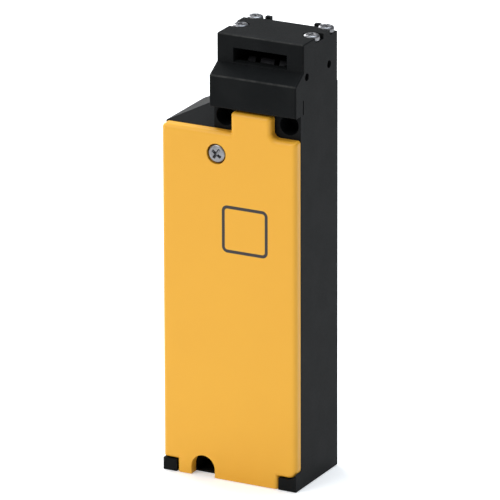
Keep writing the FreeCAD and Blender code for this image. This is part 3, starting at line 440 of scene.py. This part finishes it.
def screw_sizes(points, axis, way):
    """(centre, top, seat, end, head radius, shank radius) of a headed screw along an axis."""
    across = [k for k in range(3) if k != axis]
    centre = (points[:, across].min(0) + points[:, across].max(0)) / 2
    radial = np.linalg.norm(points[:, across] - centre, axis=1)
    depth = points[:, axis] * way
    head = radial.max()
    seat = depth[radial > 0.9 * head].max()
    shank = radial[depth > seat + 0.1 * MM].max()
    return centre, depth.min(), seat, depth.max(), head, shank


# %% [markdown]
# ## One screw as one surface
#
# A grid of radius and angle starts at the middle of the head, runs over the crown, down the side and along
# the thread to the tip. The recess is a height field on its first rows: two crossed wings whose floor rises
# towards their ends. The thread is the same radius with a triangle wave that climbs one pitch a turn.

# %% Proportions of a screw
cross_wing = (0.62, 0.15, 0.62)             # reach and half width in head radii, depth in head heights
long_slot = (2.0, 0.10, 0.42)
end_slope, side_slope = 0.30, 0.045         # how far the recess takes to its full depth, in head radii
rim_bend, crown_drop = 0.42, 0.07           # rim in head heights, crown in head radii
plain_neck, thread_depth = 0.4, 0.52        # in pitches
print("thread depth:", thread_depth, "of the pitch")


# %% Recess in the head
def recess_depth(radius, angle, head, height, slotted):
    """Height * the largest over the wings of: depth * the smaller of its slopes at the ends and the sides."""
    x, y = radius * np.cos(angle), radius * np.sin(angle)
    wings = [(x, y, cross_wing), (y, x, cross_wing)] + ([(x, y, long_slot)] if slotted else [])
    depth = np.zeros(x.shape)
    for along, across, (reach, half, deep) in wings:
        ends = (reach * head - abs(along)) / (end_slope * head)
        sides = (half * head - abs(across)) / (side_slope * head)
        depth = np.maximum(depth, deep * height * np.clip(np.minimum(ends, sides), 0, 1))
    return depth


# %% Thread on the shank
def thread_rows(start, length, shank, pitch, angle):
    """r = shank - depth * pitch * triangle wave of (s / pitch - angle / 2 pi), faded out at both ends."""
    neck = pitch * plain_neck
    steps = int(8 * (length - start - neck) / pitch)
    s = np.linspace(start + neck, length - pitch * 0.5, steps)[1:, None]
    fade = np.clip((s - start - neck) / pitch, 0, 1) * np.clip((length - s) / pitch, 0, 1)
    return shank - thread_depth * pitch * saw(s / pitch - angle / (2 * np.pi)) * fade, s


# %% Screw from head to tip
def screw_grid(points, axis, way, pitch, slotted, turn):
    """Rows of (radius, depth): crown with its recess, rounded rim, underside, thread, tip."""
    centre, top, seat, end, head, shank = screw_sizes(points, axis, way)
    height, length = seat - top, end - top
    bend, drop = rim_bend * height, crown_drop * head
    angle = circle(128)
    radius = np.linspace(0, head - bend, 44)[:, None]
    arc = np.linspace(0, np.pi / 2, 9)[1:, None]
    rim = drop * ((head - bend) / head) ** 2
    underside = [[head, height * 0.96], [head * 0.98, height], [shank, height],
                 [shank, height + pitch * plain_neck]]
    tip = [[shank - 0.5 * pitch, length], [0.0, length]]
    bands = [
        (radius, drop * (radius / head) ** 2 + recess_depth(radius, angle + turn, head, height, slotted)),
        (head - bend + bend * np.sin(arc), rim + bend * (1 - np.cos(arc))),
        np.hsplit(np.array(underside), 2),
        thread_rows(height, length, shank, pitch, angle),
        np.hsplit(np.array(tip), 2),
    ]
    bands = [np.broadcast_arrays(r, s, angle) for r, s in bands]
    r = np.concatenate([band[0] for band in bands])
    s = np.concatenate([band[1] for band in bands])
    return around(centre, r, angle, way * (top + s), axis), False, True


# %% Fit the screws
into_front, into_top = (1, 1), (2, -1)      # a screw's axis, and which way along it the tip points


def fit_screws(node, body, direction, pitch, turns, slotted=False):
    """One piece for all screws of a node, each turned to its own angle."""
    solids = solids_in(node)
    grids = [screw_grid(points, *direction, pitch, slotted, turn) for points, turn in zip(solids, turns)]
    piece = skin(node + "_driven", grids, finishes["zinc"], body)
    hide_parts(node)
    print(node, "-", len(solids), "screws,", len(piece.data.polygons), "faces")


fit_screws("cover_screw", "cover", into_front, 0.8 * MM, [0.62])
fit_screws("head_screws", "switch_body", into_top, 0.7 * MM, [0.3, 1.0, 0.15, 0.7])
fit_screws("terminal_screws", "switch_body", into_front, 0.6 * MM, [0.2, 0.9, 0.5, 1.2, 0.05, 0.75], True)
fit_screws("block_screws", "switch_body", into_front, 0.7 * MM, [0.4, 1.1])
fit_screws("coil_terminal_screws", "switch_body", into_front, 0.5 * MM, [0.8, 0.25], True)


# %% [markdown]
# ## Ground springs
#
# Each spring is a tube round a helix whose end coils close up and are ground flat. It stands fixed where
# the frame's spring stands and follows neither body. A rigid spring would stand through the plunger as soon
# as the cam turns.

# %% Ground compression springs
closed_coils, closed_rate = 0.55, 0.18      # coils that lie closed at each end, and their climb to a free coil's
ground = 0.45                               # height of the end coils' middle, in wire radii


def spring_piece(node, wire, turns):
    """x = R cos t, y = R sin t, z rising slowly in the end coils; the wire is cut flat at both ends."""
    low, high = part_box(node)
    centre = (low + high) / 2
    outer = (high.x - low.x) / 2
    t = np.linspace(0, 2 * np.pi * turns, int(40 * turns))[:, None]
    share = t / t.max()
    coils_from_end = np.minimum(share, 1 - share) * turns
    rate = closed_rate + np.clip(coils_from_end - closed_coils, 0, 0.5) * 2
    climb = np.cumsum(rate, axis=0)
    climb = (climb - climb[0]) / (climb[-1] - climb[0])
    z = low.z + ground * wire + climb * (high.z - low.z - 2 * ground * wire)
    ring = circle(14)
    girth = np.full(t.shape, wire)
    girth[0] = girth[-1] = 0
    height = np.clip(z + girth * np.sin(ring), low.z, high.z)
    grid = around(centre, outer - wire + girth * np.cos(ring), t, height)
    piece = skin(node + "_wound", [(grid, False, True)], finishes["steel"], None)
    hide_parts(node)
    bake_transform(piece)
    print(node, "-", turns, "turns over", round((high.z - low.z) / MM, 2), "mm")


spring_piece("plunger_spring", 0.30 * MM, 5.5)
spring_piece("carrier_spring", 0.28 * MM, 5.0)
spring_piece("armature_spring", 0.35 * MM, 7.0)


# %% [markdown]
# ## The coil's winding
#
# Wire lies in turns side by side, so the outside of the coil is a row of tiny half rounds that climb one
# wire a turn. The radius carries that wave, fine enough to shade as wire, and the ends stay flat.

# %% Wound wire
def winding(pitch, groove, layers):
    """r = R - g + g * |sin(pi * (z / pitch - angle / 2 pi))|, a tube with an inner wall under the layers."""
    low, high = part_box("coil_winding")
    outer = (high.x - low.x) / 2
    z = np.linspace(low.z, high.z, int(6 * (high.z - low.z) / pitch))[:, None]
    angle = circle(96)
    wave = abs(np.sin(np.pi * (z / pitch - angle / (2 * np.pi))))
    inner = np.full(angle.shape, outer - layers)
    r = np.concatenate([inner, outer - groove + groove * wave, inner, inner])
    z = np.concatenate([[[low.z]], z, [[high.z]], [[low.z]]])
    grid = around((low + high) / 2, r, angle, z)
    piece = skin("coil_winding_wound", [(grid, False, True)], finishes["copper"],
                 "switch_body")
    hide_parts("coil_winding")
    print("winding:", int((high.z - low.z) / pitch), "turns in the outer layer")


winding(0.42 * MM, 0.16 * MM, 1.6 * MM)


# %% [markdown]
# ## Thread in the cable entry
#
# A metric conduit thread is cut into the entry. Its ridges are one helical surface whose section is a
# triangle wave; the roots lie just inside the wall of the entry, so the ridges seem to grow from it.

# %% Conduit thread
def entry_thread(centre, radius, length, pitch, height):
    """r = R + sunk - (height + sunk) * flat-topped triangle wave: a sleeve whose back lies in the wall."""
    sunk, back, end_gap = 0.05 * MM, 0.25 * MM, 0.2 * MM
    steepness, flat_root = 1.25, 0.12
    z = np.linspace(end_gap, length - end_gap, int(10 * length / pitch))[:, None]
    angle = circle(144)
    wave = 1 - saw(z / pitch - angle / (2 * np.pi))
    fade = np.clip(np.minimum(z, length - z) / pitch, 0, 1)
    crest = np.clip(wave * steepness - flat_root, 0, 1)
    behind = np.full(angle.shape, radius + back)
    r = np.concatenate([behind, radius + sunk - (height + sunk) * crest * fade, behind, behind])
    z = np.concatenate([z[:1], z, z[-1:], z[:1]])
    grid = around(centre, r, angle, z)
    skin("entry_thread", [(grid, False, True)], finishes["black"], "switch_body")
    print("entry thread:", round(length / pitch, 1), "turns, radius", round(radius / MM, 2), "mm")


entry_low, entry_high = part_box("entry_block")
entry_outer = (entry_high.x - entry_low.x) / 2
entry_wall = 2.5 * MM
entry_thread((entry_low.x + entry_outer, entry_high.y - entry_outer), entry_outer - entry_wall,
             entry_high.z, 1.5 * MM, 0.3 * MM)


# %% [markdown]
# ## Black sheet under the lower fixing slot
#
# A thin black sheet closes the slot from below, just above the floor: painted shade, a dark sheet where
# the floor inside the slot lies in shade. It is one ring of points swept along the slot, a little thinner
# at the mouth where a tool would leave draft.

# %% Black sheet as painted shade
def notch_shade_sheet(left_edge, right_edge, mouth, end, thickness):
    """Rectangle (x, z) swept along y from mouth to end, thinner at the mouth; each end closes on a point."""
    share = np.linspace(0, 1, 24)
    draft, lift = 0.2, 0.02 * MM
    top = thickness * (1 - draft + draft * np.clip(share * 4, 0, 1))
    grid = np.empty((len(share) + 2, 4, 3))
    for column, (x, level) in enumerate([(left_edge, 0), (right_edge, 0), (right_edge, 1), (left_edge, 1)]):
        grid[1:-1, column, 0] = x
        grid[1:-1, column, 1] = mouth + share * (end - mouth)
        grid[1:-1, column, 2] = level * top + lift
    grid[0] = grid[1].mean(0)
    grid[-1] = grid[-2].mean(0)
    # Painted shade: a black sheet on the floor inside the slot.
    skin("notch_shade_sheet", [(grid, False, True)], finishes["black"], "switch_body")
    print("web:", round((right_edge - left_edge) / MM, 2), "x", round((end - mouth) / MM, 2), "mm")


# Slot edges and thickness of the painted-shade sheet.
slot_left, slot_right, shade_sheet_thickness = -15.02 * MM, -5.78 * MM, 0.85 * MM
slot_setback, back_wall = 3.85 * MM, 4.0 * MM
base_low, base_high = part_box("base_housing")
notch_shade_sheet(slot_left, slot_right, base_low.y + slot_setback, base_high.y - back_wall, shade_sheet_thickness)


# %% [markdown]
# ## Floor, light and eye
#
# The floor is a wide pale disc. To the eye alone it gives out a little light of its own, so it reads as
# white and still keeps the shadow. The lamps are four soft boxes that are large for so small an object:
# dark satin plastic shows mostly what it reflects, and a small lamp would leave hot dots on the edges.

# %% Floor
def eye_rays(finish):
    """1 for rays that reach the eye directly, by mirror or through glass."""
    path = finish.nodes.new("ShaderNodeLightPath")
    total = Signal(finish, path.outputs["Is Camera Ray"]) + Signal(finish, path.outputs["Is Glossy Ray"])
    return (total + Signal(finish, path.outputs["Is Transmission Ray"])).clamp()


def floor_finish():
    """Matt near-white that shines to the eye only: faintly by the switch, more where the lamps fade."""
    finish = Finish("floor_matt")
    x, y = finish.axis("X"), finish.axis("Y")
    near_glow, added_glow = 0.34, 0.46
    glow = (x * x + y * y).root().step(0.6, 3.0) * added_glow + near_glow
    finish.set("Base Color", rgb(0.93, 0.93, 0.93))
    finish.set("Roughness", 0.9)
    finish.set("Emission Color", rgb(1.0, 1.0, 1.0))
    finish.set("Emission Strength", eye_rays(finish) * glow)
    return finish.material


def floor_disc(radius):
    """Flat disc of quads round the origin, just under the switch."""
    reach = np.linspace(0, radius, 6)[:, None]
    angle = circle(64)
    grid = around((0, 0), reach * np.ones(angle.shape), angle, 0)
    disc = skin("floor", [(grid, False, True)], floor_finish(), None)
    disc.location.z = -0.2 * MM
    print("floor:", radius, "m radius")


floor_disc(6.0)


# %% World
def studio_world(strength):
    """Even pale sky for light; plain white for the eye."""
    world = bpy.data.worlds.new("studio")
    world.use_nodes = True
    bpy.context.scene.world = world
    tree = world.node_tree
    sky = tree.nodes["Background"]
    sky.inputs["Color"].default_value = rgb(0.93, 0.96, 1.0)
    sky.inputs["Strength"].default_value = strength
    backdrop = tree.nodes.new("ShaderNodeBackground")
    backdrop.inputs["Color"].default_value = rgb(1.0, 1.0, 1.0)
    path = tree.nodes.new("ShaderNodeLightPath")
    mix = tree.nodes.new("ShaderNodeMixShader")
    tree.links.new(path.outputs["Is Camera Ray"], mix.inputs[0])
    tree.links.new(sky.outputs[0], mix.inputs[1])
    tree.links.new(backdrop.outputs[0], mix.inputs[2])
    tree.links.new(mix.outputs[0], tree.nodes["World Output"].inputs["Surface"])
    print("world:", strength, "of pale sky")


studio_world(0.20)


# %% Lamps
def soft_box(name, place, size, power, colour=(1.0, 1.0, 1.0)):
    """Square lamp that faces the middle of the switch."""
    lamp = bpy.data.lights.new(name, "AREA")
    lamp.shape = "RECTANGLE"
    lamp.size = lamp.size_y = size
    lamp.energy = power
    lamp.color = colour
    box = bpy.data.objects.new(name, lamp)
    box.location = place
    box.rotation_euler = (switch_middle - Vector(place)).to_track_quat("-Z", "Y").to_euler()
    bpy.context.scene.collection.objects.link(box)
    print("lamp:", name, power, "W")


switch_middle = Vector((0, 0, 80 * MM))
soft_box("key", (-0.9, -1.5, 1.3), 1.2, 22.5)
soft_box("side", (1.7, -0.5, 0.7), 1.4, 2)
soft_box("top", (0.2, 0.3, 2.0), 1.4, 29, (0.86, 0.93, 1.0))
soft_box("back_left", (-1.5, 0.9, 0.9), 1.2, 32)


# %% Camera
def camera_at(target, azimuth, elevation, distance, lens, rise, aside, roll):
    """Stand at the distance along the azimuth and elevation, look past the target by rise and aside."""
    a, e = math.radians(azimuth), math.radians(elevation)
    away = Vector((math.sin(a) * math.cos(e), -math.cos(a) * math.cos(e), math.sin(e)))
    right = Vector((math.cos(a), math.sin(a), 0))
    up = right.cross(-away)
    place = target + away * distance
    aim = target + right * aside + up * rise
    view = (aim - place).to_track_quat("-Z", "Y").to_matrix().to_4x4()
    eye = bpy.data.cameras.new("eye")
    eye.lens, eye.sensor_width, eye.clip_end = lens, 36, 50
    holder = bpy.data.objects.new("eye", eye)
    holder.matrix_world = Matrix.Translation(place) @ view @ Matrix.Rotation(math.radians(roll), 4, "Z")
    bpy.context.scene.collection.objects.link(holder)
    bpy.context.scene.camera = holder
    print("camera:", lens, "mm lens at", distance, "m")


camera_at(Vector((0, -0.85 * MM, 75 * MM)), azimuth=27.54, elevation=19.10, distance=2.5, lens=520.0,
          rise=4.96 * MM, aside=0.44 * MM, roll=-0.18)
bpy.context.scene.view_settings.view_transform = "Standard"
